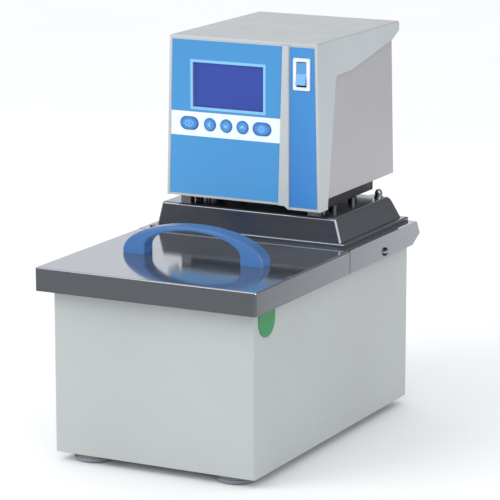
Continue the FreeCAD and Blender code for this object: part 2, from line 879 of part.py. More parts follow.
def plinth_solid(name, inset):
    """The plinth's outer form, or the form of its inside when it is inset by the wall."""
    body = new_body(name)
    low = size("lid_top") - inset
    high = plinth_top - inset
    side = plinth_side - inset
    front = size("plinth_front") + inset
    back = size("plinth_back") - inset
    block = sketch_on(body, "YZ", -side)
    polygon(block, [(front, low), (back, low), (back - size("plinth_back_lean"), high), (front, high)])
    pad(body, block, side * 2)
    waste = sketch_on(body, "XZ", back + 1)
    for end in (-1, 1):
        polygon(waste, [(side * end, low), (side * end, high), ((side - size("plinth_lean")) * end, high)])
    pocket(body, waste, size("plinth_back"), towards_normal=True)
    top = plain(high) - 1
    rear = plain(back) - 30
    rear_rounding = 13
    side_rounding = 3.5
    rounded(body, rear_rounding - plain(inset), lambda edge: runs_along(edge, X)
            and edge.BoundBox.ZMin > top and edge.CenterOfMass.y > rear)
    foot = plain(low) + 0.1
    rounded(body, side_rounding - plain(inset), lambda edge: edge.BoundBox.ZMax > foot
            and not (runs_along(edge, X) and edge.CenterOfMass.y > rear))
    return body


def make_plinth():
    """Raised stainless cover with leaning sides, a sloping back and a raised rim at its foot."""
    wall = size("sheet_steel")
    outside = plinth_solid("PlinthOutside", 0)
    inside = plinth_solid("PlinthInside", wall)
    reach = size("rim_reach")
    overlap = 6
    rim_rounding = 1.8
    rim = ring(
        "Rim", "XY",
        (-plinth_side - reach, size("plinth_front") - reach,
         plinth_side + reach, size("plinth_back") + size("rim_back_reach")),
        (overlap - plinth_side, size("plinth_front") + overlap,
         plinth_side - overlap, size("plinth_back") - overlap),
        size("lid_top"), size("rim_height"))
    outer_edge = plain(plinth_side)
    rim_top = plain(size("lid_top") + size("rim_height")) - 0.1
    rounded(rim, rim_rounding, lambda edge: edge.BoundBox.ZMin > rim_top
            and (abs(edge.CenterOfMass.x) > outer_edge
                 or not plain(size("plinth_front")) < edge.CenterOfMass.y < plain(size("plinth_back"))))
    holes = [cylinder(size("shaft_opening"), 10, 0, size("pump_y"), plinth_top - 5)]
    for side in (-1, 1):
        holes.append(cylinder(size("rod_hole"), 10, size("float_x") * side, size("float_y"), plinth_top - 5))
        holes.append(cylinder(leg_hole, 10, size("coil_radius") * side, size("pump_y"), plinth_top - 5))
        holes.append(cylinder(size("screw_hole"), 10, size("cap_nut_x") * side, size("cap_nut_y"),
                              plinth_top - 5))
        holes.append(cylinder(size("nozzle_radius") + 0.1, 40, size("pipe_x") * side,
                              size("plinth_back") - 30, size("nozzle_z"), "+Y"))
    keep(cut(fused(outside, rim), inside, *holes), "pump_plinth")


def make_cap_nuts():
    """Domed cap nuts near the plinth's rear corners, each on a stud with a nut below the sheet."""
    x = size("cap_nut_x")
    y = size("cap_nut_y")
    dome_radius = 4
    nut_radius = 4.4
    washer_high = 1
    skirt_high = 4.5
    lower_high = 3
    stud_low = 8
    washer = cylinder(5.2, washer_high, x, y, plinth_top)
    skirt = cylinder(nut_radius, skirt_high, x, y, plinth_top + washer_high)
    dome = document.addObject("Part::Sphere", "Dome")
    dome.Radius = dome_radius
    place(dome, x, y, plinth_top + washer_high + skirt_high)
    stud = cylinder(size("screw_radius"), stud_low + washer_high, x, y, plinth_top - stud_low)
    lower_nut = cylinder(nut_radius, lower_high, x, y, plinth_top - size("sheet_steel") - lower_high)
    nut = fused(washer, skirt, dome, stud, lower_nut)
    keep(group(left_and_right(nut), "CapNuts"), "cap_nuts")


# ---------------------------------------------------------------- head: structure

def make_head_supports():
    """Round posts and front blocks that hold the head clear of the plinth."""
    post_high = plate_low - plinth_top
    post_x = size("post_spread") / 2
    front_post = cylinder(size("post_radius"), post_high, post_x, size("post_front"), plinth_top)
    back_post = cylinder(size("post_radius"), post_high, post_x, size("post_back"), plinth_top)
    inner = size("block_inner")
    front = size("plinth_front") + 3
    block = box(inner, front, plinth_top, inner + size("block_wide"), front + size("block_deep"),
                size("case_bottom"))
    supports = [item for source in (front_post, back_post, block) for item in left_and_right(source)]
    keep(group(supports, "Supports"), "head_supports")


def make_head_base():
    """Dark base plate between the posts and the case."""
    side = 86
    corner = 4

    def draw(drawing):
        rectangle(drawing, -side, size("base_plate_front"), side, size("base_plate_back"))
        circle(drawing, 0, size("pump_y"), size("shaft_opening"))
        for end in (-1, 1):
            circle(drawing, size("float_x") * end, size("float_y"), size("rod_hole"))
            circle(drawing, size("coil_radius") * end, size("pump_y"), leg_hole)

    body = slab("HeadBase", "XY", draw, plate_low, size("base_plate_thick"))
    rounded(body, corner, lambda edge: runs_along(edge, Z) and abs(edge.CenterOfMass.x) > side - 1)
    keep(body, "head_base_plate")


def make_head_case():
    """Open-topped painted case: a floor and two side walls under the hood."""
    body = new_body("Case")
    skin = size("sheet_steel")
    low = size("case_bottom")
    high = head_top - size("hood_wall") - 1
    side_low = head_half_width(low) - case_inset
    side_high = head_half_width(high) - case_inset
    walls = sketch_on(body, "XZ", size("case_back") - skin)
    polygon(walls, [
        (-side_low, low), (side_low, low), (side_high, high), (side_high - skin, high),
        (side_low - skin, low + skin), (skin - side_low, low + skin), (skin - side_high, high),
        (-side_high, high)])
    pad(body, walls, size("case_back") - skin - bezel_back - 2)
    floor = sketch_on(body, "XY", low)
    circle(floor, 0, size("pump_y"), 10)
    for side in (-1, 1):
        circle(floor, size("coil_radius") * side, size("pump_y"), leg_hole)
        circle(floor, size("float_x") * side, size("float_y"), size("rod_hole"))
    pocket(body, floor, skin * 2, towards_normal=True)
    keep(body, "head_case")


def make_hood():
    """Moulded hood: a roof and two sides cut away along a rising line, with a drip lip behind."""
    body = new_body("Hood")
    wall = size("hood_wall")
    left_low = size("head_bottom")
    right_low = size("column_bottom")
    roof_rounding = 2.4
    corner_rounding = 6
    side_high = head_half_width(head_top)
    outer_left = head_half_width(left_low)
    outer_right = head_half_width(right_low)
    channel = sketch_on(body, "XZ", hood_back)
    polygon(channel, [
        (-outer_left, left_low), (-side_high, head_top), (side_high, head_top),
        (outer_right, right_low), (outer_right - wall, right_low),
        (side_high - wall, head_top - wall), (wall - side_high, head_top - wall),
        (wall - outer_left, left_low)])
    pad(body, channel, hood_back - size("head_front"))
    top = plain(head_top) - 0.5
    rounded(body, roof_rounding, lambda edge: runs_along(edge, Y) and edge.BoundBox.ZMin > top)
    lip = sketch_on(body, "XZ", hood_back)
    lip_low = head_top - 11
    lip_side = head_half_width(lip_low) - 1
    polygon(lip, [(-lip_side, lip_low), (lip_side, lip_low),
                  (side_high - 1, head_top - 1), (1 - side_high, head_top - 1)])
    pad(body, lip, 2.5)
    waste = sketch_on(body, "YZ", -size("overall_depth"))
    behind = hood_back + 10
    below = right_low - 5
    column_back = size("head_front") + 20
    corner_y = size("head_front") + 46
    corner_z = head_top - 40
    polygon(waste, [
        (column_back, below), (column_back, right_low + 4), (corner_y, corner_z),
        (corner_y + 39, corner_z + 1), (size("case_back") - 3, head_top - 18.5),
        (hood_back - 2, lip_low), (behind, lip_low), (behind, below)])
    pocket(body, waste, size("overall_depth") * 2, towards_normal=True)
    rounded(body, corner_rounding, lambda edge: runs_along(edge, X)
            and abs(edge.CenterOfMass.y - plain(corner_y)) < 1
            and abs(edge.CenterOfMass.z - plain(corner_z)) < 1)
    keep(body, "head_hood")


def make_rear_panel():
    """Back of the case, with vent slots and cut-outs for the mains inlet, fuses and probe socket."""
    body = new_body("RearPanel")
    skin = size("sheet_steel")
    low = size("case_bottom")
    high = head_top - 20
    side_low = head_half_width(low) - case_inset
    side_high = head_half_width(high) - case_inset
    plate = sketch_on(body, "XZ", size("case_back"))
    polygon(plate, [(-side_low, low), (side_low, low), (side_high, high), (-side_high, high)])
    level = size("fitting_z")
    rectangle(plate, size("inlet_x") - 14, level - 10, size("inlet_x") + 14, level + 10.5)
    for end in (-1, 1):
        circle(plate, size("fuse_x") + size("fuse_spacing") / 2 * end, level, size("fuse_barrel") + 0.2)
    circle(plate, size("probe_socket_x"), level, size("probe_socket_radius") + 0.1)
    slot_count = 9
    slot_spacing = 7
    slot_wide = 90
    slot_tall = 3
    for row in range(slot_count):
        stadium(plate, 0, level + 40 + row * slot_spacing, slot_wide, slot_tall)
    pad(body, plate, skin)
    keep(body, "rear_panel")


def make_rear_screws():
    y = size("case_back")
    head_high = 1.8
    head_radius = 3.2
    socket_radius = 1.5
    across = 82
    screws = []
    for side in (-1, 1):
        for z in (size("case_bottom") + 7, head_top - 29):
            head = cylinder(head_radius, head_high, across * side, y, z, "+Y")
            socket = cylinder(socket_radius, head_high, across * side, y + head_high / 2, z, "+Y")
            screws.append(cut(head, socket))
    keep(group(screws, "RearScrews"), "rear_panel_screws")


def make_mains_inlet():
    """Three-pin inlet: a flange on the panel, a housing behind it and its open socket."""
    y = size("case_back")
    x = size("inlet_x")
    z = size("fitting_z")
    depth = 15
    wall = 1.8
    wide = 12
    low = z - 7.7
    high = z + 8.2
    brim = 5.3
    pin = 1
    pin_end = y - 3
    flange = box(x - wide - brim, y, low - brim, x + wide + brim, y + 2, high + brim)
    housing = box(x - wide - wall, y - 24, low - wall, x + wide + wall, y, high + wall)
    cavity = box(x - wide, y - depth, low, x + wide, y + 3, high)
    pins = [box(x + side - pin, y - depth, z - 2, x + side + pin, pin_end, z + 2) for side in (-7, 7)]
    earth = box(x - pin, y - depth, z + 2.5, x + pin, pin_end, z + 6.5)
    shell = cut(fused(flange, housing), cavity)
    keep(fused(shell, *pins, earth), "mains_inlet")


def make_fuse_holders():
    y = size("case_back")
    z = size("fitting_z")
    long = 22
    cap_high = 6
    caps = []
    for end in (-1, 1):
        x = size("fuse_x") + size("fuse_spacing") / 2 * end
        barrel = cylinder(size("fuse_barrel"), long, x, y - long, z, "+Y")
        cap = cylinder(8, cap_high, x, y, z, "+Y")
        slot = box(x - 5, y + cap_high - 1.4, z - 0.7, x + 5, y + cap_high + 1, z + 0.7)
        caps.append(cut(fused(barrel, cap), slot))
    keep(group(caps, "FuseHolders"), "fuse_holders")


def make_probe_socket():
    """Round socket for a probe outside the bath."""
    y = size("case_back")
    x = size("probe_socket_x")
    z = size("fitting_z")
    collar_high = 3
    barrel_depth = 15
    well_depth = 10
    collar = cylinder(10, collar_high, x, y, z, "+Y")
    barrel = cylinder(size("probe_socket_radius"), barrel_depth + collar_high, x, y - barrel_depth, z, "+Y")
    well = cylinder(6, well_depth, x, y + collar_high - well_depth, z, "+Y")
    keep(cut(fused(collar, barrel), well), "probe_socket")


# ---------------------------------------------------------------- head: front

rocker_room = 2.4
board_thick = 1.6
KEYS = {"key_menu": -66.0, "key_left": -40.4, "key_down": -20.2, "key_up": 0.0, "key_start": 23.8}
WIDE_KEYS = ("key_menu", "key_start")


def key_openings(drawing, gap):
    for name, x in KEYS.items():
        if name in WIDE_KEYS:
            stadium(drawing, x, size("key_z"), size("key_wide") + gap * 2, size("key_tall") + gap * 2)
        else:
            circle(drawing, x, size("key_z"), size("key_tall") / 2 + gap)


def panel_left(height):
    """The blue panel's left edge runs along the head's leaning side."""
    border = 3.6
    return border - head_half_width(height)


def panel_right(height):
    lean = 0.026
    return size("panel_right") - (size("panel_high") - height) * lean


def display_outline(drawing, low, high):
    polygon(drawing, [
        (panel_left(low), low), (panel_right(low), low),
        (panel_right(high), high), (panel_left(high), high)])


def rocker_cutout(drawing, wide, tall):
    rectangle(drawing, size("rocker_x") - wide / 2, size("rocker_z") - tall / 2,
              size("rocker_x") + wide / 2, size("rocker_z") + tall / 2)


def make_bezel():
    """Moulded front plate with a tapering rib between the display and the switch column."""
    body = new_body("Bezel")
    gap = 0.1
    inset = size("hood_wall") + gap
    high = head_top - inset
    left_low = size("head_bottom")
    right_low = size("column_bottom")
    step = 52
    plate = sketch_on(body, "XZ", bezel_back)
    polygon(plate, [
        (inset - head_half_width(left_low), left_low), (step, left_low), (step + 4, right_low),
        (head_half_width(right_low) - inset, right_low), (head_half_width(high) - inset, high),
        (inset - head_half_width(high), high)])
    rectangle(plate, size("lcd_left"), size("lcd_low"), size("lcd_right"), size("lcd_high"))
    key_openings(plate, size("running_gap"))
    rocker_cutout(plate, size("rocker_opening_wide") + rocker_room, size("rocker_opening_tall") + rocker_room)
    pad(body, plate, size("bezel_thick"))
    sunk = 0.5
    rib_high = 3
    rib_rounding = 1.6
    rib = sketch_on(body, "XZ", bezel_front + sunk)
    polygon(rib, [(step - 8.1, left_low), (step, left_low), (step + 5.2, right_low),
                  (step + 4.6, high), (step - 3.4, high)])
    pad(body, rib, rib_high)
    front = plain(bezel_front) + sunk - rib_high + 0.1
    rounded(body, rib_rounding, lambda edge: edge.BoundBox.YMax < front and edge.BoundBox.ZLength > 100)
    keep(body, "front_bezel")


def make_front_films():
    """Printed films on the bezel: display panel, key band, display border and switch strip."""
    thick = size("membrane")

    def panel(drawing):
        display_outline(drawing, size("panel_low"), size("panel_high"))
        rectangle(drawing, size("lcd_left"), size("lcd_low"), size("lcd_right"), size("lcd_high"))
        key_openings(drawing, size("running_gap"))

    keep(slab("Panel", "XZ", panel, bezel_front, thick), "display_panel")

    def band(drawing):
        display_outline(drawing, size("band_low"), size("band_high"))
        key_openings(drawing, size("running_gap"))

    keep(slab("Band", "XZ", band, membrane_front, 0.2), "key_band")
    border = size("lcd_border")
    outer = (size("lcd_left") - border, size("lcd_low") - border,
             size("lcd_right") + border, size("lcd_high") + border)
    inner = (size("lcd_left"), size("lcd_low"), size("lcd_right"), size("lcd_high"))
    keep(ring("LcdFrame", "XZ", outer, inner, membrane_front, 0.3), "lcd_frame")

    def strip(drawing):
        low = size("column_bottom") + 3
        high = size("panel_high")
        left = 57.4
        polygon(drawing, [(left, low), (-panel_left(low), low), (-panel_left(high), high), (left, high)])
        rocker_cutout(drawing, size("rocker_opening_wide") + rocker_room,
                      size("rocker_opening_tall") + rocker_room)

    keep(slab("Strip", "XZ", strip, bezel_front, thick), "switch_strip")


def make_display():
    """Clear window in the bezel, the LCD module behind it and the board that drives it."""
    gap = 0.1
    window = box(size("lcd_left") + gap, bezel_front, size("lcd_low") + gap,
                 size("lcd_right") - gap, bezel_front + 2, size("lcd_high") - gap)
    keep(window, "lcd_window")
    module = box(size("lcd_left") - 6, bezel_back, size("lcd_low") - 5,
                 size("lcd_right") + 6, bezel_back + 8, size("lcd_high") + 6)
    screen = box(size("lcd_left") + 1, bezel_back - 1, size("lcd_low") + 1,
                 size("lcd_right") - 1, bezel_back, size("lcd_high") - 1)
    keep(fused(module, screen), "lcd_module")


def make_keys():
    """Five keys: a cap that stands out of the panel and a stem that works its switch."""
    front = membrane_front - size("key_proud")
    length = bezel_back - front
    edge_rounding = 0.7
    stem_long = 3
    for label, x in KEYS.items():
        body = new_body("Key")
        cap = sketch_on(body, "XZ", bezel_back)
        if label in WIDE_KEYS:
            stadium(cap, x, size("key_z"), size("key_wide"), size("key_tall"))
        else:
            circle(cap, x, size("key_z"), size("key_tall") / 2)
        pad(body, cap, length)
        edge_y = plain(front) + 0.05
        rounded(body, edge_rounding, lambda edge: edge.BoundBox.YMax < edge_y)
        stem = sketch_on(body, "XZ", bezel_back + stem_long)
        circle(stem, x, size("key_z"), 2)
        pad(body, stem, stem_long)
        keep(body, label)


def make_key_board():
    """Circuit board on four standoffs, with one tact switch behind each key."""
    stem_long = 3
    switch_high = 3
    face = bezel_back + stem_long + size("key_travel") + size("running_gap")
    back = face + switch_high
    left = -76
    right = 34
    low = size("key_z") - 13.8
    high = size("key_z") + 11.2
    board = box(left, back, low, right, back + board_thick, high)
    switches = [cylinder(3, switch_high, x, face, size("key_z"), "+Y") for x in KEYS.values()]
    places = ((left + 6, low + 3), (right - 6, low + 3),
              (left + 24.8, high - 2.5), (right - 24.1, high - 2.5))
    standoffs = [cylinder(2, back - bezel_back, x, bezel_back, z, "+Y") for x, z in places]
    keep(fused(board, *switches, *standoffs), "key_board")


def make_switch():
    """Mains switch: white frame, housing, pin and the rocker itself, which rests with its top in."""
    x = size("rocker_x")
    z = size("rocker_z")
    pivot_y = bezel_front + 1
    wide = size("rocker_opening_wide")
    tall = size("rocker_opening_tall")
    frame_wide = size("rocker_frame_wide")
    frame_tall = size("rocker_frame_tall")
    outer = (x - frame_wide / 2, z - frame_tall / 2, x + frame_wide / 2, z + frame_tall / 2)
    inner = (x - wide / 2, z - tall / 2, x + wide / 2, z + tall / 2)
    frame = ring("RockerFrame", "XZ", outer, inner, membrane_front, 1.8)
    rounded(frame, 1.5, lambda edge: runs_along(edge, Y)
            and abs(edge.CenterOfMass.x - plain(x)) > plain(frame_wide) / 2 - 0.1)
    keep(frame, "rocker_frame")
    housing_back = membrane_front + 22
    housing = box(x - wide / 2 - 1, membrane_front, z - tall / 2 - 1,
                  x + wide / 2 + 1, housing_back, z + tall / 2 + 1)
    hollow = box(x - wide / 2, membrane_front - 1, z - tall / 2,
                 x + wide / 2, housing_back - 8, z + tall / 2)
    terminals = [box(x - 3, housing_back, z + up - 0.4, x + 3, housing_back + 8, z + up + 0.4)
                 for up in (-8, 8)]
    keep(fused(cut(housing, hollow), *terminals), "switch_body")
    pin_radius = 1
    keep(cylinder(pin_radius, wide, x - wide / 2, pivot_y, z, "+X"), "rocker_pin")
    rocker = new_body("Rocker")
    half_wide = wide / 2 - 0.5
    profile = sketch_on(rocker, "YZ", -half_wide)
    polygon(profile, [(-4.4, 12.4), (-2.6, 0), (-4.4, -12.4), (-1, -12.2),
                      (4, -7), (6.5, 0), (4, 7), (-1, 12.2)])
    circle(profile, 0, 0, pin_radius + size("shaft_clearance"))
    pad(rocker, profile, half_wide * 2)
    rounded(rocker, 0.5, lambda edge: runs_along(edge, X) and edge.CenterOfMass.y < -4)
    rest_tilt = -10
    place(rocker, x, pivot_y, z, Rotation(X, rest_tilt))
    keep(rocker, "power_rocker")


# ---------------------------------------------------------------- head: electrics and motor

def make_control_board():
    """Upright circuit board behind the display, on two brackets that stand on the case's floor."""
    front = bezel_back + 24
    back = front + board_thick
    left = -72
    right = 44
    low = 300
    bracket_wide = 12
    board = box(left, front, low, right, back, low + 118)
    brackets = [box(x, back, case_floor, x + bracket_wide, back + 2, low + 12)
                for x in (left, right - bracket_wide)]
    relay = box(left + 12, back, low + 80, left + 40, back + 15.4, low + 92)
    chip = box(left + 58, back, low + 50, left + 80, back + 3.4, low + 72)
    plug = box(right - 38, back, low + 18, right - 20, back + 10.4, low + 38)
    keep(fused(board, *brackets, relay, chip, plug), "control_board")


def make_power_supply():
    """Transformer and heat sink on an upright tray in front of the rear panel."""
    tray_front = 150
    tray_back = tray_front + 2
    left = -80
    low = 318
    tray = box(left, tray_front, case_floor, left + 100, tray_back, low + 82)
    transformer = box(left + 10, tray_back, low, left + 58, tray_back + 38, low + 48)
    sink = box(left + 66, tray_back, low, left + 92, tray_back + 28, low + 60)
    keep(fused(tray, transformer, sink), "power_supply")


def make_motor():
    """Pump motor on the case's floor."""
    y = size("pump_y")
    can_radius = 32
    flange_high = 4
    can_high = 72
    flange = cylinder(can_radius + 6, flange_high, 0, y, case_floor)
    can = cylinder(can_radius, can_high, 0, y, case_floor + flange_high)
    end_cap = cylinder(can_radius - 12, 6, 0, y, case_floor + flange_high + can_high)
    bore = cylinder(size("shaft_radius") + size("shaft_clearance"), 90, 0, y, case_floor - 2)
    keep(cut(fused(flange, can, end_cap), bore), "pump_motor")


def blades_about_the_shaft(count, inner, length, thick, high, z):
    """Radial blades, evenly spread round the pump's axis."""
    blades = []
    for index in range(count):
        blade = document.addObject("Part::Box", "Blade")
        blade.Length = length
        blade.Width = thick
        blade.Height = high
        turn = Rotation(Z, 360 / count * index)
        start = turn.multVec(Vector(inner, -thick / 2, 0))
        blades.append(place(blade, start.x, size("pump_y") + start.y, z, turn))
    return blades


def make_rotor():
    """Shaft with the fan above the motor and the impeller in the pump: they turn together."""
    y = size("pump_y")
    radius = size("shaft_radius")
    fan_low = case_floor + 86
    wheel_low = size("pump_z") + 5
    blade_thick = 1.6
    shaft_low = wheel_low - 1
    shaft_high = fan_low + 12
    keep(cylinder(radius, shaft_high - shaft_low, 0, y, shaft_low), "motor_shaft")
    hub = cylinder(8, 10, 0, y, fan_low)
    fan_bore = cylinder(radius, 14, 0, y, fan_low - 2)
    fan_blades = blades_about_the_shaft(7, 6, 22, blade_thick, 8, fan_low + 1)
    keep(cut(fused(hub, *fan_blades), fan_bore), "cooling_fan")
    disc = cylinder(20, 2, 0, y, wheel_low + 1)
    boss = cylinder(7, 8, 0, y, wheel_low)
    vanes = blades_about_the_shaft(5, 5, 14, blade_thick, 5, wheel_low + 2.5)
    wheel_bore = cylinder(radius, 14, 0, y, wheel_low - 3)
    keep(cut(fused(disc, boss, *vanes), wheel_bore), "pump_impeller")


# ---------------------------------------------------------------- pump, pipes, heater and sensors

def make_pump_housing():
    """Pump casing at the foot of the column that hangs from the plinth."""
    y = size("pump_y")
    z = size("pump_z")
    wall = 3
    casing_high = 22
    arm = 8
    arm_high = 14
    arm_low = z + 4
    water_way = 4
    way_z = arm_low + arm_high / 2
    column_top = plinth_top - size("sheet_steel")
    casing = cylinder(size("pump_radius"), casing_high, 0, y, z)
    column = cylinder(15, column_top - z, 0, y, z)
    collar = cylinder(26, wall, 0, y, column_top - wall)
    outlet = box(0, y - arm, arm_low, size("pipe_x") + arm, y + arm, arm_low + arm_high)
    chamber = cylinder(size("pump_radius") - wall, casing_high - wall * 2, 0, y, z + wall)
    inlet = cylinder(9, 8, 0, y, z - 2)
    bore = cylinder(11, 200, 0, y, z + 10)
    solid = fused(casing, column, collar, outlet)
    way_out = cylinder(water_way, size("pipe_x"), 0, y, way_z, "+X")
    way_up = cylinder(water_way, 12, size("pipe_x"), y, way_z)
    keep(cut(solid, chamber, inlet, bore, way_out, way_up), "pump_housing")


def pipe_solid(x, low, radius):
    """A round bar that rises from low, bends back and ends inside the hose nozzle."""
    bend = 14
    high = plain(size("nozzle_z"))
    y = plain(size("pump_y"))
    end = plain(nozzle_start)
    centre = Vector(x, y + bend, high - bend)
    middle = centre + Vector(0, -bend, bend) * 0.7071067811865476
    corner = Part.Arc(Vector(x, y, high - bend), middle, Vector(x, y + bend, high))
    path = Part.Wire([
        Part.LineSegment(Vector(x, y, low), Vector(x, y, high - bend)).toShape(),
        corner.toShape(),
        Part.LineSegment(Vector(x, y + bend, high), Vector(x, end, high)).toShape()])
    section = Part.Wire([Part.Circle(Vector(x, y, low), Z, radius).toShape()])
    return path.makePipeShell([section], True, True)


def make_pipes():
    """Outlet pipe from the pump and return pipe that ends above the tank's floor."""
    radius = plain(size("pipe_radius")) - 1.5
    for label, x, low in (("outlet_pipe", plain(size("pipe_x")), plain(size("pump_z")) + 18.2),
                          ("return_pipe", -plain(size("pipe_x")), 120)):
        feature = document.addObject("Part::Feature", "Pipe")
        feature.Shape = pipe_solid(x, low, radius).cut(pipe_solid(x, low, radius - 1))
        feature.Placement = Placement()
        keep(feature, label)


def make_nozzles():
    """Two hose nozzles through the plinth's sloping back, each with its hexagon nut."""
    x = size("pipe_x")
    z = size("nozzle_z")
    start = nozzle_start
    radius = size("nozzle_radius")
    tip_long = 1.5
    stem = cylinder(radius, size("nozzle_end") - tip_long - start, x, start, z, "+Y")
    tip = cone(radius, radius - 1.2, tip_long, x, size("nozzle_end") - tip_long, z, "+Y")
    nut = document.addObject("Part::Prism", "Nut")
    nut.Polygon = 6
    nut.Circumradius = 10
    nut.Height = 6
    place(nut, x, size("plinth_back") - 2, z, TURNED["+Y"])
    bore = cylinder(size("nozzle_bore"), 70, x, start - 5, z, "+Y")
    nozzle = cut(fused(stem, tip, nut), bore)
    keep(group(left_and_right(nozzle), "Nozzles"), "hose_nozzles")


def make_heater():
    """Tubular heater: a coil round the pump with its two ends brought up into the head."""
    radius = plain(size("coil_radius"))
    tube = plain(size("coil_tube"))
    leg = plain(size("coil_leg"))
    pitch = plain(size("coil_pitch"))
    y = plain(size("pump_y"))
    low = plain(size("pump_z")) + 30
    turns = 2.5
    high = plain(size("case_bottom")) + 14
    coil = Part.makeHelix(pitch, pitch * turns, radius)
    coil.translate(Vector(0, y, low))
    section = Part.Wire([Part.Circle(Vector(radius, y, low), Y, tube).toShape()])
    winding = Part.Wire(coil).makePipeShell([section], True, True)
    seat = 2
    start_leg = Part.makeCylinder(leg, high - low + seat, Vector(radius, y, low - seat))
    top = low + pitch * turns
    end_leg = Part.makeCylinder(leg, high - top + seat, Vector(-radius, y, top - seat))
    heater = document.addObject("Part::Feature", "Heater")
    heater.Shape = winding.fuse([start_leg, end_leg]).removeSplitter()
    heater.Placement = Placement()
    keep(heater, "heater_coil")


def make_sensors():
    """Temperature probe on the right, and the level switch's rod and float on the left."""
    x = size("float_x")
    y = size("float_y")
    top = size("case_bottom") + 10
    radius = size("rod_radius")
    probe_low = tank_floor + 50
    nut_high = 4
    probe = cylinder(radius, top - probe_low, -x, y, probe_low)
    nut = cylinder(7, nut_high, -x, y, plinth_top - size("sheet_steel") - nut_high)
    keep(fused(probe, nut), "temperature_probe")
    rod_low = tank_floor + 52
    stop_high = 2
    float_high = 22
    gap = size("running_gap")
    float_low = rod_low + stop_high + gap
    rod = cylinder(radius, top - rod_low, x, y, rod_low)
    stop = cylinder(6, stop_high, x, y, rod_low)
    upper_stop = cylinder(6, stop_high, x, y, float_low + float_high + size("float_travel") + gap)
    keep(fused(rod, stop, upper_stop), "level_rod")
    body = cylinder(13, float_high, x, y, float_low)
    bore = cylinder(radius + 0.5, 30, x, y, rod_low - 2)
    keep(cut(body, bore), "level_float")


# ---------------------------------------------------------------- assembly and export

def check_and_export():
    document.recompute()
    failed = [item.Label for item in document.Objects
              if "Invalid" in item.State or "Error" in item.State]
    if failed:
        raise ValueError(f"failed objects: {failed}")
    for item in sub_parts:
        if item.Shape.isNull() or not item.Shape.isValid() or not item.Shape.Solids:
            raise ValueError(f"bad shape: {item.Label}")
    os.makedirs("parts", exist_ok=True)
    for item in sub_parts:
        item.Shape.exportStep(os.path.join("parts", f"{item.Label}.step"))
        extent = item.Shape.BoundBox
        print(f"{item.Label:20s} {len(item.Shape.Solids):2d} solids "
              f"x {extent.XMin:7.1f} {extent.XMax:7.1f}  y {extent.YMin:7.1f} {extent.YMax:7.1f}"
              f"  z {extent.ZMin:6.1f} {extent.ZMax:6.1f}")
    print(len(sub_parts), "sub-parts")


MAKERS = (
    make_cabinet_shell, make_base_plate, make_feet, make_foot_screws, make_green_tag,
    make_tank_flange, make_tank, make_insulation, make_seal, make_baffle, make_drain_pipe, make_drain_valve,
    make_lid, make_handle, make_handle_screws, make_deck, make_deck_screws, make_plinth,
    make_cap_nuts, make_head_supports, make_head_base, make_head_case, make_hood,
    make_rear_panel, make_rear_screws, make_mains_inlet, make_fuse_holders, make_probe_socket,
    make_bezel, make_front_films, make_display, make_keys, make_key_board, make_switch,
    make_control_board, make_power_supply, make_motor, make_rotor, make_pump_housing,
    make_pipes, make_nozzles, make_heater, make_sensors,
)
for make in MAKERS:
    make()
check_and_export()
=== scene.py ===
import math

import bmesh
import bpy
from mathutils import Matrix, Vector


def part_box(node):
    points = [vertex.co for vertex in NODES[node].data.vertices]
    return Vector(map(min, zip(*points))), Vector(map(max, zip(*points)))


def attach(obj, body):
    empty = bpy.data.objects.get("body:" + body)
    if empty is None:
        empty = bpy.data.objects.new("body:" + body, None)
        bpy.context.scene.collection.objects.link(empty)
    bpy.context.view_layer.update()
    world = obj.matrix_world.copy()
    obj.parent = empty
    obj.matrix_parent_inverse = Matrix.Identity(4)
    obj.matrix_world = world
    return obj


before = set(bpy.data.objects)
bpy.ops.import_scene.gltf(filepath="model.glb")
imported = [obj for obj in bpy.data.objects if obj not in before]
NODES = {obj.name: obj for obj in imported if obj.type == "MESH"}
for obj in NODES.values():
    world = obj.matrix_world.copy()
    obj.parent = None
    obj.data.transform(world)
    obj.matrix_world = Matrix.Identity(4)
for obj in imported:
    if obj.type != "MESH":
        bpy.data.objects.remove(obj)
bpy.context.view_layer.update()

# Looks for the heating circulator water bath: metres, +Z up, the control panel faces -Y.

# Each key's node, and the body that its printed sign rides on.
KEYS = {
    "key_menu": "menu_key",
    "key_left": "left_key",
    "key_down": "down_key",
    "key_up": "up_key",
    "key_start": "start_key",
}


# ---------------------------------------------------------------- colours and node helpers

# Most of a noise's values lie between these two.
NOISE_LOW = 0.3
NOISE_HIGH = 0.7

# The Mix node has sockets of several types under the same names, so its colours go by number.
MIX_FIRST, MIX_SECOND, MIX_RESULT = 6, 7, 2


def tint(code):
    """A linear colour from a hexadecimal display colour."""
    parts = [int(code[i:i + 2], 16) / 255 for i in (0, 2, 4)]
    linear = [part / 12.92 if part <= 0.04045 else ((part + 0.055) / 1.055) ** 2.4 for part in parts]
    return (*linear, 1.0)


def grey(level):
    return (level, level, level, 1.0)


def shade(colour, factor):
    return (*[min(1.0, channel * factor) for channel in colour[:3]], 1.0)


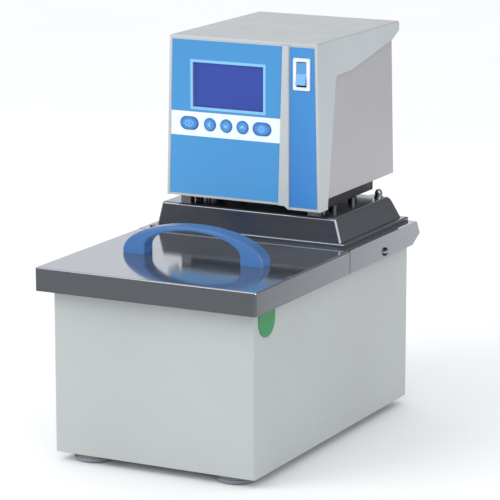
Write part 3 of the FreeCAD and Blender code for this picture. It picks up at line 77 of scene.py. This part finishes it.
class Recipe:
    """A node material on one Principled shader, with patterns laid out in the object's own metres."""

    def __init__(self, name, **sockets):
        self.material = bpy.data.materials.new(name)
        self.material.use_nodes = True
        self.tree = self.material.node_tree
        self.shader = self.tree.nodes["Principled BSDF"]
        for socket, value in sockets.items():
            self.shader.inputs[socket.replace("_", " ")].default_value = value
        self.place = self.add("ShaderNodeTexCoord").outputs["Object"]

    def add(self, kind, **settings):
        node = self.tree.nodes.new(kind)
        for setting, value in settings.items():
            setattr(node, setting, value)
        return node

    def link(self, source, target):
        self.tree.links.new(source, target)

    def feed(self, socket, value):
        """Give a socket a value, which may be another node's output."""
        if isinstance(value, (int, float, tuple)):
            socket.default_value = value
        else:
            self.link(value, socket)

    def stretched(self, scale):
        mapping = self.add("ShaderNodeMapping")
        mapping.inputs["Scale"].default_value = scale
        self.link(self.place, mapping.inputs["Vector"])
        return mapping.outputs["Vector"]

    def noise(self, per_metre, detail, stretch=(1, 1, 1), roughness=0.5):
        node = self.add("ShaderNodeTexNoise")
        node.inputs["Scale"].default_value = per_metre
        node.inputs["Detail"].default_value = detail
        node.inputs["Roughness"].default_value = roughness
        self.link(self.stretched(stretch), node.inputs["Vector"])
        return node.outputs["Fac"]

    def cells(self, per_metre):
        node = self.add("ShaderNodeTexVoronoi")
        node.inputs["Scale"].default_value = per_metre
        self.link(self.place, node.inputs["Vector"])
        return node.outputs["Distance"]

    def ranged(self, source, low, high, start=NOISE_LOW, end=NOISE_HIGH):
        """The source's values from start to end, spread from low to high."""
        node = self.add("ShaderNodeMapRange")
        for socket, value in (("From Min", start), ("From Max", end), ("To Min", low), ("To Max", high)):
            node.inputs[socket].default_value = value
        self.link(source, node.inputs["Value"])
        return node.outputs["Result"]

    def part_of(self, vector, axis):
        node = self.add("ShaderNodeSeparateXYZ")
        self.link(vector, node.inputs["Vector"])
        return node.outputs[axis]

    def along(self, axis):
        """How far along an axis of the object, in metres."""
        return self.part_of(self.place, axis)

    def facing(self, axis):
        """How far the surface faces along an axis of the object, from -1 to 1."""
        return self.part_of(self.add("ShaderNodeTexCoord").outputs["Normal"], axis)

    def maths(self, operation, *values):
        node = self.add("ShaderNodeMath", operation=operation)
        for socket, value in zip(node.inputs, values):
            self.feed(socket, value)
        return node.outputs["Value"]

    def blended(self, factor, first, second):
        """A colour between first and second; each may be a colour or another node's output."""
        node = self.add("ShaderNodeMix", data_type="RGBA")
        self.link(factor, node.inputs["Factor"])
        self.feed(node.inputs[MIX_FIRST], first)
        self.feed(node.inputs[MIX_SECOND], second)
        return node.outputs[MIX_RESULT]

    def mottled(self, source, base, darkest, lightest):
        """The base colour, multiplied by a factor that follows the source."""
        return self.blended(self.ranged(source, 0, 1), shade(base, darkest), shade(base, lightest))

    def colour(self, source):
        self.link(source, self.shader.inputs["Base Color"])

    def roughness(self, source):
        self.link(source, self.shader.inputs["Roughness"])

    def glow(self, source):
        self.link(source, self.shader.inputs["Emission Color"])

    def bump(self, height, strength, depth):
        node = self.add("ShaderNodeBump")
        node.inputs["Strength"].default_value = strength
        node.inputs["Distance"].default_value = depth
        self.link(height, node.inputs["Height"])
        self.link(node.outputs["Normal"], self.shader.inputs["Normal"])


# ---------------------------------------------------------------- paint and metal

def sheet_paint(name, code, mottle=0.035, peel=0.12):
    """Powder coat: an orange-peel surface with slow changes of tone and a little dust."""
    base = tint(code)
    recipe = Recipe(name)
    slow = recipe.noise(per_metre=6, detail=2)
    dust = recipe.noise(per_metre=90, detail=5, roughness=0.65)
    tone = recipe.mottled(slow, base, darkest=1 - mottle, lightest=1 + mottle)
    dusted = recipe.ranged(dust, 0, 0.16, start=0.55, end=0.8)
    recipe.colour(recipe.blended(dusted, tone, shade(base, 0.82)))
    recipe.roughness(recipe.ranged(dust, low=0.33, high=0.47))
    recipe.bump(recipe.noise(per_metre=850, detail=2), strength=peel, depth=0.0004)
    return recipe.material


def polished_steel(name, code, lines_across, lines_along, low, high, grain, metallic=1.0):
    """Stainless sheet: fine lines of polish along X, or along Y on the sides, and faint wipe marks."""
    base = tint(code)
    recipe = Recipe(name, Metallic=metallic)
    across = recipe.noise(per_metre=1, detail=4, roughness=0.7,
                          stretch=(lines_along, lines_across, lines_across))
    along = recipe.noise(per_metre=1, detail=4, roughness=0.7,
                         stretch=(lines_across, lines_along, lines_across))
    side = recipe.ranged(recipe.maths("ABSOLUTE", recipe.facing("X")), 0, 1, start=0.5, end=0.8)
    lines = recipe.maths("ADD", recipe.maths("MULTIPLY", along, side),
                         recipe.maths("MULTIPLY", across, recipe.maths("SUBTRACT", 1, side)))
    recipe.colour(recipe.mottled(lines, base, darkest=0.955, lightest=1.03))
    wipes = recipe.noise(per_metre=14, detail=4, stretch=(1, 0.55, 1))
    smear = recipe.ranged(wipes, 0, 0.045, start=0.45, end=0.75)
    recipe.roughness(recipe.maths("ADD", recipe.ranged(lines, low, high), smear))
    recipe.bump(lines, strength=grain, depth=0.0002)
    return recipe.material


def tool_marks(recipe, low, high, per_metre=1400, stretch=(0.25, 0.25, 1), strength=0.06):
    marks = recipe.noise(per_metre, detail=3, stretch=stretch)
    recipe.roughness(recipe.ranged(marks, low, high))
    recipe.bump(marks, strength, depth=0.0002)


def turned_metal(name, code, low=0.18, high=0.3, marks_per_metre=1400):
    """Machined or drawn metal with fine tool marks and dulled patches."""
    recipe = Recipe(name, Metallic=1.0)
    patches = recipe.noise(per_metre=60, detail=4)
    recipe.colour(recipe.mottled(patches, tint(code), darkest=0.8, lightest=1.08))
    tool_marks(recipe, low, high, marks_per_metre)
    return recipe.material


def slotted_screw():
    """A screw painted dark above and below with a bright band across its middle: a painted reflection."""
    low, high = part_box("deck_screws")
    recipe = Recipe("screw_metal", Metallic=1.0)
    off_middle = recipe.maths("SUBTRACT", recipe.along("Z"), (low.z + high.z) / 2)
    painted_reflection_mask = recipe.ranged(recipe.maths("ABSOLUTE", off_middle), 0, 1, start=0.0007, end=0.0012)
    # Bright across the middle and dark above and below: painted reflection.
    recipe.colour(recipe.blended(painted_reflection_mask, tint("dcdee0"), tint("3a3b3f")))
    tool_marks(recipe, low=0.2, high=0.32, stretch=(1, 1, 1), strength=0.05)
    return recipe.material


def support_metal():
    """Bare metal on the front blocks, and the posts behind them painted dark as painted shade in the gap
    under the controller.
    """
    recipe = Recipe("support_metal", Metallic=1.0)
    behind = recipe.ranged(recipe.along("Y"), 0, 1, start=0.035, end=0.05)
    # The posts behind the front blocks are painted dark: painted shade.
    recipe.colour(recipe.blended(behind, tint("bfc1c4"), tint("505156")))
    tool_marks(recipe, low=0.18, high=0.3)
    return recipe.material


def windings():
    """The mains supply: laminated iron and windings, drawn as fine layers."""
    recipe = Recipe("supply_parts", Metallic=0.6)
    layers = recipe.noise(per_metre=1, detail=2, stretch=(4, 4, 1500))
    recipe.colour(recipe.blended(recipe.ranged(layers, 0, 1), tint("6d6c68"), tint("a9a8a2")))
    recipe.roughness(recipe.ranged(layers, low=0.35, high=0.6))
    recipe.bump(layers, strength=0.2, depth=0.0003)
    return recipe.material


# ---------------------------------------------------------------- plastic, film and rubber

def moulded(name, code, low=0.38, high=0.5, texture=0.16,
            darkest=0.95, lightest=1.05, pore=0.75, shaded_roof_code=None):
    """Moulded plastic: a fine leathery mould texture, slow tone changes and rubbed patches.

    Given a colour for upward faces, faces that look up take that colour, as painted shade.
    """
    base = tint(code)
    recipe = Recipe(name)
    rubbed = recipe.noise(per_metre=45, detail=4, roughness=0.6)
    leather = recipe.cells(per_metre=1700)
    tone = recipe.mottled(recipe.noise(per_metre=11, detail=3), base, darkest, lightest)
    if shaded_roof_code is not None:
        # Faces that look up take the darker colour: painted shade.
        roof_shading = recipe.ranged(recipe.facing("Z"), 0, 1, start=0.3, end=0.9)
        tone = recipe.blended(roof_shading, tone, tint(shaded_roof_code))
    pores = recipe.ranged(leather, 0, 0.07, start=0.1, end=0.7)
    recipe.colour(recipe.blended(pores, tone, shade(base, pore)))
    recipe.roughness(recipe.ranged(rubbed, low, high))
    recipe.bump(leather, texture, depth=0.00025)
    return recipe.material


def handle_plastic():
    """The handle's blue plastic, with faces that look up painted darker as painted shade."""
    base = tint("4f7dba")
    recipe = Recipe("handle_plastic", Specular_IOR_Level=0.35)
    rubbed = recipe.noise(per_metre=40, detail=4, roughness=0.6)
    # Faces that look up are painted darker: painted shade on the handle's top.
    painted_shade_top = recipe.ranged(recipe.facing("Z"), 0, 0.85, start=0.1, end=0.75)
    tone = recipe.blended(painted_shade_top, base, shade(base, 0.55))
    recipe.colour(recipe.blended(recipe.ranged(rubbed, 0, 0.2), tone, shade(base, 0.8)))
    recipe.roughness(recipe.ranged(rubbed, low=0.2, high=0.32))
    recipe.bump(recipe.cells(per_metre=1500), strength=0.06, depth=0.00025)
    return recipe.material


def key_plastic(node):
    """A key's blue cap, darker towards its oval rim."""
    low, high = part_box(node)
    middle = (low + high) / 2
    wide = (high.x - low.x) / 2
    tall = (high.z - low.z) / 2
    recipe = Recipe(f"{node}_plastic")
    across = recipe.maths("DIVIDE", recipe.maths("SUBTRACT", recipe.along("X"), middle.x), wide)
    up = recipe.maths("DIVIDE", recipe.maths("SUBTRACT", recipe.along("Z"), middle.z), tall)
    square = recipe.maths("ADD", recipe.maths("MULTIPLY", across, across), recipe.maths("MULTIPLY", up, up))
    rim = recipe.ranged(square, 0, 1, start=0.35, end=0.95)
    speck = recipe.noise(per_metre=1500, detail=3)
    body = recipe.blended(recipe.ranged(speck, 0, 0.12), tint("4f98dc"), tint("3f86ce"))
    recipe.colour(recipe.blended(rim, body, tint("2a6cb8")))
    recipe.roughness(recipe.ranged(speck, low=0.3, high=0.42))
    recipe.bump(speck, strength=0.05, depth=0.0001)
    return recipe.material


def film_recipe(name, low=0.26, high=0.36):
    """Polyester film: a very fine velvet surface under a thin coat."""
    recipe = Recipe(name, Coat_Weight=0.12, Coat_Roughness=0.25)
    velvet = recipe.noise(per_metre=2600, detail=2)
    recipe.roughness(recipe.ranged(velvet, low, high))
    recipe.bump(velvet, strength=0.05, depth=0.0001)
    return recipe


def printed_film(name, code, low=0.26, high=0.36, drift=0.03):
    """A film printed in one colour that drifts a little."""
    recipe = film_recipe(name, low, high)
    slow = recipe.noise(per_metre=9, detail=2)
    recipe.colour(recipe.mottled(slow, tint(code), darkest=1 - drift, lightest=1 + drift))
    return recipe.material


def graded_film(name, node, shaded_foot_code, shaded_top_code, code_right, share_right):
    """A blue film graded from one tone at its foot to another at its top as painted light and shade, and
    paler towards its right.
    """
    low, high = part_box(node)
    recipe = film_recipe(name)
    height = recipe.ranged(recipe.along("Z"), 0, 1, start=low.z, end=high.z)
    across = recipe.ranged(recipe.along("X"), 0, 1, start=low.x, end=high.x)
    # The change from foot to top is painted light and shade, not print.
    painted_shading = recipe.blended(height, tint(shaded_foot_code), tint(shaded_top_code))
    edge = recipe.maths("MULTIPLY", across, share_right)
    recipe.colour(recipe.blended(edge, painted_shading, tint(code_right)))
    return recipe.material


def display_glow():
    """The lit blue liquid crystal behind the window, with its faint grid of dots."""
    recipe = Recipe("display_module", Emission_Strength=0.28)
    grid = recipe.cells(per_metre=900)
    slow = recipe.noise(per_metre=14, detail=2)
    blue = recipe.blended(recipe.ranged(slow, 0, 1), tint("3c50a8"), tint("4258b0"))
    dots = recipe.ranged(grid, 0, 0.12, start=0.2, end=0.6)
    lit = recipe.blended(dots, blue, tint("34489c"))
    recipe.colour(lit)
    recipe.glow(lit)
    recipe.bump(grid, strength=0.02, depth=0.0001)
    return recipe.material


def display_glass():
    recipe = Recipe("display_window", Alpha=0.22, IOR=1.45)
    smear = recipe.noise(per_metre=70, detail=4)
    recipe.colour(recipe.blended(recipe.ranged(smear, 0, 1), tint("3a4fa6"), tint("3e54ac")))
    recipe.roughness(recipe.ranged(smear, low=0.04, high=0.12))
    recipe.bump(smear, strength=0.01, depth=0.0002)
    return recipe.material


def rubber(name, code):
    base = tint(code)
    recipe = Recipe(name)
    grit = recipe.noise(per_metre=900, detail=5, roughness=0.7)
    dust = recipe.noise(per_metre=40, detail=4)
    recipe.colour(recipe.blended(recipe.ranged(dust, 0, 0.5), base, shade(base, 1.5)))
    recipe.roughness(recipe.ranged(grit, low=0.6, high=0.85))
    recipe.bump(grit, strength=0.25, depth=0.0003)
    return recipe.material


def foam():
    base = tint("d9d4c0")
    recipe = Recipe("foam")
    pores = recipe.cells(per_metre=700)
    recipe.colour(recipe.blended(recipe.ranged(pores, 0, 1, start=0.1, end=0.6), shade(base, 0.6), base))
    recipe.roughness(recipe.ranged(pores, low=0.8, high=1.0))
    recipe.bump(pores, strength=0.5, depth=0.0008)
    return recipe.material


def circuit_board():
    """Green lacquer over a pattern of tracks, laid out on the upright board."""
    recipe = Recipe("circuit_board")
    turned = recipe.add("ShaderNodeMapping")
    turned.inputs["Rotation"].default_value = (math.radians(90), 0, 0)
    recipe.link(recipe.place, turned.inputs["Vector"])
    tracks = recipe.add("ShaderNodeTexBrick")
    tracks.inputs["Scale"].default_value = 260
    tracks.inputs["Mortar Size"].default_value = 0.08
    tracks.inputs["Color1"].default_value = tint("1c5a34")
    tracks.inputs["Color2"].default_value = tint("20663c")
    tracks.inputs["Mortar"].default_value = tint("2f8a55")
    recipe.link(turned.outputs["Vector"], tracks.inputs["Vector"])
    recipe.colour(tracks.outputs["Color"])
    recipe.roughness(recipe.ranged(recipe.noise(per_metre=300, detail=3), low=0.35, high=0.5))
    recipe.bump(tracks.outputs["Fac"], strength=0.1, depth=0.0002)
    return recipe.material


# ---------------------------------------------------------------- which node wears which material

def dress(material, *names):
    for name in names:
        slots = NODES[name].data.materials
        slots.clear()
        slots.append(material)


def dress_paint_and_metal():
    dress(sheet_paint("cabinet_paint", "b3b7b7"), "cabinet_shell", "base_plate")
    dress(sheet_paint("head_case_paint", "b1b0b4", mottle=0.03, peel=0.2), "head_case", "rear_panel")
    dress(polished_steel("stainless", "9b9fa6", lines_across=420, lines_along=9,
                         low=0.06, high=0.12, grain=0.02, metallic=0.85),
          "bath_lid", "deck_plate")
    # The plinth's steel is toned darker than the lid's stainless: painted shade.
    dress(polished_steel("plinth_steel_shaded", "82868e", lines_across=60, lines_along=4,
                         low=0.15, high=0.22, grain=0.01, metallic=0.9),
          "pump_plinth")
    dress(polished_steel("tank_steel", "c8cacc", lines_across=60, lines_along=60,
                         low=0.16, high=0.26, grain=0.05),
          "tank_flange", "bath_tank", "baffle_plate")
    dress(turned_metal("fasteners", "c9cbce", low=0.12, high=0.22),
          "foot_screws", "handle_screws", "rear_panel_screws")
    dress(turned_metal("cap_nut_metal", "8b8d92", low=0.14, high=0.24), "cap_nuts")
    dress(slotted_screw(), "deck_screws")
    dress(support_metal(), "head_supports")
    dress(turned_metal("steel_parts", "bfc1c4"),
          "heater_coil", "temperature_probe", "level_rod", "outlet_pipe", "return_pipe",
          "hose_nozzles", "motor_shaft", "drain_pipe", "rocker_pin")
    dress(turned_metal("brass", "c9b27a"), "drain_valve")
    dress(turned_metal("motor_metal", "75777b", low=0.35, high=0.55, marks_per_metre=700),
          "pump_motor")
    dress(windings(), "power_supply")


def dress_plastic_and_rubber():
    dress(moulded("drain_lever_plastic", "1f3f86"), "drain_lever")
    dress(rubber("black_rubber", "7e8088"), "rubber_feet")
    dress(rubber("silicone", "b9bbbc"), "tank_seal")
    dress(foam(), "tank_insulation")
    dress(moulded("green_plastic", "2c8c50", low=0.3, high=0.42, texture=0.1), "green_tag")
    dress(handle_plastic(), "lid_handle")
    dress(moulded("dark_plate", "2c2d31", low=0.5, high=0.7), "head_base_plate")
    # The hood's upward faces are painted a darker grey as painted shade.
    dress(moulded("hood_plastic", "c0c6c8", low=0.36, high=0.48, texture=0.1,
                  darkest=0.96, lightest=1.03, pore=0.7, shaded_roof_code="a5a9aa"),
          "head_hood", "front_bezel")
    dress(moulded("white_plastic", "eef1f3", low=0.25, high=0.35, texture=0.04), "rocker_frame")
    dress(moulded("rocker_blue", "5ca3dc", low=0.15, high=0.25, texture=0.02), "power_rocker")
    dress(moulded("black_plastic", "26272a", low=0.4, high=0.55),
          "switch_body", "mains_inlet", "fuse_holders", "probe_socket", "cooling_fan")
    dress(moulded("pump_plastic", "55565a", low=0.4, high=0.55),
          "pump_housing", "pump_impeller", "level_float")


def dress_panel():
    # Both films carry painted light and shade from foot to top.
    dress(graded_film("panel_film", "display_panel", shaded_foot_code="4d9ddb", shaded_top_code="4491cc",
                      code_right="4997d5", share_right=0.3),
          "display_panel")
    dress(graded_film("strip_film", "switch_strip", shaded_foot_code="3d83ce", shaded_top_code="418dcf",
                      code_right="4997d8", share_right=0.35),
          "switch_strip")
    dress(printed_film("white_film", "eef8fb", drift=0.01), "key_band")
    dress(printed_film("light_blue_film", "86c4f0"), "lcd_frame")
    dress(display_glass(), "lcd_window")
    dress(display_glow(), "lcd_module")
    for name in KEYS:
        dress(key_plastic(name), name)
    dress(circuit_board(), "key_board", "control_board")


# ---------------------------------------------------------------- the signs printed on the keys

SIGN_PROUD = 0.00015
SIGN_DEPTH = 0.0004
OVAL_STEPS = 40
ARROW_REACH = 0.0030
# A chevron that points left, as (across, up) in shares of its reach.
ARROW_SHAPE = [(-1.0, 0.0), (0.15, 1.0), (0.62, 0.62), (-0.1, 0.0), (0.62, -0.62), (0.15, -1.0)]


def raised(sketch, outline, hole, centre, front):
    """A flat sign on an upright face: outline and hole are lists of (across, up) in metres."""
    def ring_at(points, y):
        return [sketch.verts.new((centre.x + a, y, centre.z + u)) for a, u in points]

    def join(first, second):
        count = len(first)
        for index in range(count):
            follow = (index + 1) % count
            sketch.faces.new((first[index], first[follow], second[follow], second[index]))

    near = ring_at(outline, front)
    far = ring_at(outline, front + SIGN_DEPTH)
    join(near, far)
    if hole is None:
        sketch.faces.new(near)
        sketch.faces.new(list(reversed(far)))
        return
    near_hole = ring_at(hole, front)
    far_hole = ring_at(hole, front + SIGN_DEPTH)
    join(near_hole, far_hole)
    join(near, near_hole)
    join(far, far_hole)


def oval(half_wide, half_tall):
    turns = [2 * math.pi * step / OVAL_STEPS for step in range(OVAL_STEPS)]
    return [(half_wide * math.cos(turn), half_tall * math.sin(turn)) for turn in turns]


def arrow(degrees):
    """A chevron turned anticlockwise from pointing left."""
    cos = math.cos(math.radians(degrees))
    sin = math.sin(math.radians(degrees))
    return [((a * cos - u * sin) * ARROW_REACH, (a * sin + u * cos) * ARROW_REACH) for a, u in ARROW_SHAPE]


# The parts of each key's sign, as pairs of an outline and the hole in it.
SIGNS = {
    "key_menu": [(oval(0.0052, 0.0034), oval(0.0042, 0.0024)), (oval(0.0016, 0.0009), None)],
    "key_left": [(arrow(0), None)],
    "key_down": [(arrow(90), None)],
    "key_up": [(arrow(-90), None)],
    "key_start": [(oval(0.0036, 0.0036), oval(0.0026, 0.0026)), (oval(0.0011, 0.0011), None)],
}


def make_key_signs():
    """A pale sign printed thick on each key."""
    ink = printed_film("sign_ink", "8cc4f2", low=0.3, high=0.45)
    for node, parts in SIGNS.items():
        low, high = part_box(node)
        name = f"{node}_sign"
        mesh = bpy.data.meshes.new(name)
        sketch = bmesh.new()
        for outline, hole in parts:
            raised(sketch, outline, hole, centre=(low + high) / 2, front=low.y - SIGN_PROUD)
        bmesh.ops.recalc_face_normals(sketch, faces=sketch.faces)
        sketch.to_mesh(mesh)
        sketch.free()
        mesh.materials.append(ink)
        sign = bpy.data.objects.new(name, mesh)
        bpy.context.scene.collection.objects.link(sign)
        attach(sign, KEYS[node])


# ---------------------------------------------------------------- camera, floor and light

VIEW_TARGET = Vector((0.08474, -0.14145, 0.24002))
VIEW_AZIMUTH = 27.24
VIEW_ELEVATION = 12.39
VIEW_DISTANCE = 2.9108
LENS_MM = 201.3
SENSOR_MM = 36
FARTHEST_SEEN = 60

FLOOR_REACH = 14
SKY_COLOUR = (0.965, 0.98, 1.0, 1.0)
SKY_STRENGTH = 1.05
LAMP_TARGET = Vector((0, 0, 0.2))


def look_at(thing, target):
    direction = target - thing.location
    thing.rotation_euler = direction.to_track_quat("-Z", "Y").to_euler()


def around(centre, azimuth, elevation, distance):
    """A place seen from the centre: degrees from the front towards the right, and degrees up."""
    turn = math.radians(azimuth)
    rise = math.radians(elevation)
    flat = math.cos(rise) * distance
    return centre + Vector((flat * math.sin(turn), -flat * math.cos(turn), distance * math.sin(rise)))


def make_camera():
    data = bpy.data.cameras.new("camera")
    data.lens = LENS_MM
    data.sensor_width = SENSOR_MM
    data.clip_end = FARTHEST_SEEN
    camera = bpy.data.objects.new("camera", data)
    camera.location = around(VIEW_TARGET, VIEW_AZIMUTH, VIEW_ELEVATION, VIEW_DISTANCE)
    look_at(camera, VIEW_TARGET)
    bpy.context.scene.collection.objects.link(camera)
    bpy.context.scene.camera = camera


def stage_sheet(name, corners, recipe):
    """One flat face that belongs to the studio and not to the object."""
    mesh = bpy.data.meshes.new(name)
    mesh.from_pydata(corners, [], [(0, 1, 2, 3)])
    mesh.materials.append(recipe.material)
    sheet = bpy.data.objects.new(name, mesh)
    bpy.context.scene.collection.objects.link(sheet)
    return sheet


def make_floor():
    recipe = Recipe("floor", Specular_IOR_Level=0.15)
    cloud = recipe.noise(per_metre=3, detail=3)
    recipe.colour(recipe.blended(recipe.ranged(cloud, 0, 1), tint("f7f7f7"), tint("f9f9f9")))
    recipe.roughness(recipe.ranged(cloud, low=0.9, high=0.94))
    recipe.bump(recipe.noise(per_metre=400, detail=2), strength=0.02, depth=0.0002)
    far = FLOOR_REACH
    stage_sheet("floor", [(-far, -far, 0), (far, -far, 0), (far, far, 0), (-far, far, 0)], recipe)


def soft_light(name, azimuth, elevation, distance, side, watts):
    data = bpy.data.lights.new(name, "AREA")
    data.shape = "DISK"
    data.size = side
    data.energy = watts
    lamp = bpy.data.objects.new(name, data)
    lamp.location = around(LAMP_TARGET, azimuth, elevation, distance)
    look_at(lamp, LAMP_TARGET)
    bpy.context.scene.collection.objects.link(lamp)


def studio_card(name, start, end, low, high, start_glow, end_glow):
    """A card that only the polished metal mirrors, as a photographer sets black and white flags.

    It stands between two places on the floor, and its brightness runs from one end to the other.
    """
    recipe = Recipe(name, Roughness=1.0, Base_Color=grey(0.0), Specular_IOR_Level=0.0,
                    Emission_Strength=1.0)
    share = recipe.ranged(recipe.along("Y"), 0, 1, start=start[1], end=end[1])
    recipe.glow(recipe.blended(share, grey(start_glow), grey(end_glow)))
    recipe.material.cycles.emission_sampling = "NONE"
    card = stage_sheet(name, [(*start, low), (*end, low), (*end, high), (*start, high)], recipe)
    card.visible_camera = False
    card.visible_diffuse = False
    card.visible_shadow = False
    card.visible_transmission = False


def make_sky():
    world = bpy.data.worlds.new("studio")
    bpy.context.scene.world = world
    world.use_nodes = True
    background = world.node_tree.nodes["Background"]
    background.inputs["Color"].default_value = SKY_COLOUR
    background.inputs["Strength"].default_value = SKY_STRENGTH


def make_studio():
    """The floor, the sky, one soft lamp and the cards, named by the metal that mirrors them."""
    make_sky()
    make_floor()
    soft_light("key", azimuth=-35, elevation=35, distance=2.4, side=1.6, watts=18)
    studio_card("grey_front_flag", start=(-1.04, -0.166), end=(0.476, -0.94),
                low=0.002, high=0.6, start_glow=0.21, end_glow=0.21)
    studio_card("dark_right_flag", start=(0.78, 0.4), end=(0.017, 0.875),
                low=0.2, high=1.2, start_glow=0.22, end_glow=0.22)
    studio_card("grey_right_flag", start=(0.355, 0.15), end=(0.355, 0.75),
                low=0.002, high=0.19, start_glow=0.4, end_glow=1.04)
    studio_card("white_corner_card", start=(0.81, -1.15), end=(1.4, -0.15),
                low=0.3, high=1.5, start_glow=3.5, end_glow=3.5)
    studio_card("grey_corner_flag", start=(0.476, -0.94), end=(0.45, 0.3),
                low=0.002, high=0.16, start_glow=0.26, end_glow=0.36)


# ---------------------------------------------------------------- the whole scene

dress_paint_and_metal()
dress_plastic_and_rubber()
dress_panel()
make_key_signs()
make_camera()
make_studio()
bpy.context.scene.view_settings.view_transform = "Standard"
